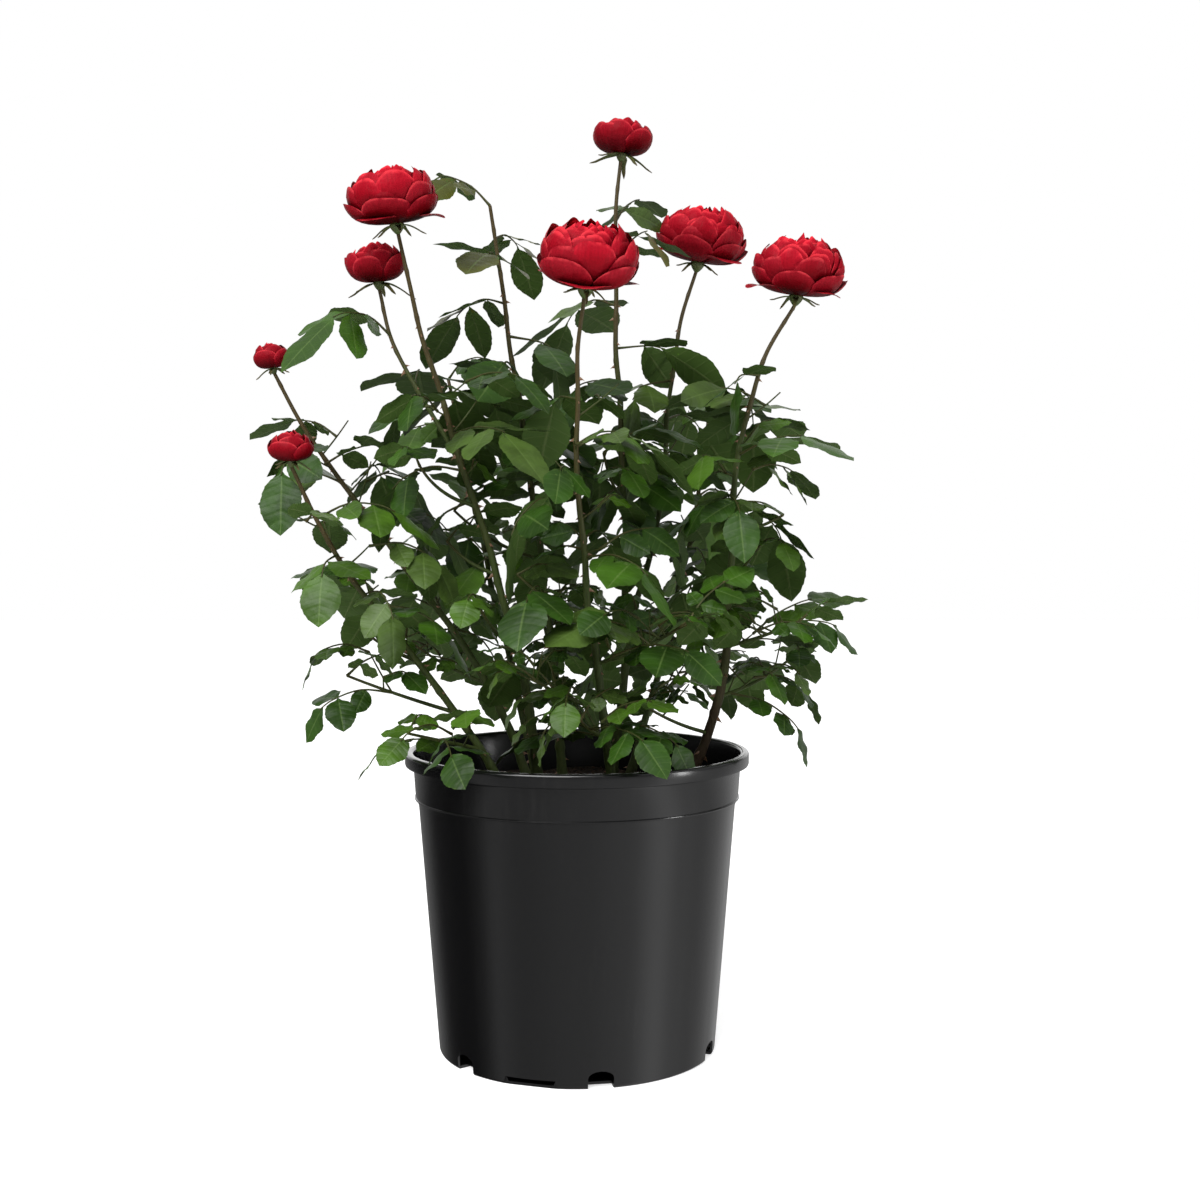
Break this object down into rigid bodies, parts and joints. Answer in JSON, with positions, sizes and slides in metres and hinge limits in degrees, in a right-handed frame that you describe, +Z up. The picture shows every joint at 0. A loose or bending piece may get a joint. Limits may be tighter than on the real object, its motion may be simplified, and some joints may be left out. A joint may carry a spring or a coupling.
{
  "type": "potted rose bush",
  "caption": "Rose bush in full leaf with double red blooms on upright canes, growing in soil in a round, slightly tapered black nursery pot.",
  "frame": {"origin": "centre of the flat underside of the pot", "axes": "+Z up along the pot's axis, -Y towards the front of the plant, +X to the right seen from the front"},
  "size_m": [0.5073, 0.4189, 0.7658],
  "materials": {
    "pot_plastic": "black satin blow-moulded plastic with fine upright scuffs and a brighter lip",
    "soil_mix": "damp dark bark-based potting mix",
    "cane_bark": "brown woody foot turning to green bark with thorns",
    "leafage": "deep green, slightly glossy toothed leaves on green stems",
    "petals": "velvety deep red petals"
  },
  "bodies": {
    "root": {"pot": "pot_plastic", "soil": "soil_mix", "cane_front": "cane_bark", "cane_left": "cane_bark", "cane_far_left": "cane_bark", "cane_low_left": "cane_bark", "cane_middle": "cane_bark", "cane_tall": "cane_bark", "cane_right": "cane_bark", "cane_back_left": "cane_bark", "cane_back_right": "cane_bark", "bough_left": "cane_bark", "bough_right": "cane_bark", "crown_front": "leafage", "crown_left": "leafage", "crown_far_left": "leafage", "crown_low_left": "leafage", "crown_middle": "leafage", "crown_tall": "leafage", "crown_right": "leafage", "crown_back_left": "leafage", "crown_back_right": "leafage", "crown_bough_left": "leafage", "crown_bough_right": "leafage", "mass_right_low": "leafage", "mass_right_out": "leafage", "mass_right_in": "leafage", "mass_right_high": "leafage", "mass_right_mid": "leafage", "mass_front_low": "leafage", "mass_front_side": "leafage", "mass_front_left": "leafage", "mass_front_mid": "leafage", "mass_left_low": "leafage", "mass_left_out": "leafage", "mass_left_mid": "leafage", "mass_left_front": "leafage", "mass_left_inner": "leafage", "mass_left_high": "leafage", "mass_far_left_low": "leafage", "mass_far_left_back": "leafage", "mass_middle_low": "leafage", "mass_middle_side": "leafage", "mass_middle_high": "leafage", "mass_tall_low": "leafage", "mass_tall_high": "leafage", "mass_back_left_low": "leafage", "mass_back_left_high": "leafage", "mass_back_right_low": "leafage", "mass_back_right_high": "leafage", "bloom_front": "petals", "bloom_left": "petals", "bud_upper": "petals", "bud_lower": "petals", "bloom_small": "petals", "bloom_top": "petals", "bloom_back": "petals", "bloom_right": "petals"}
  },
  "joints": []
}
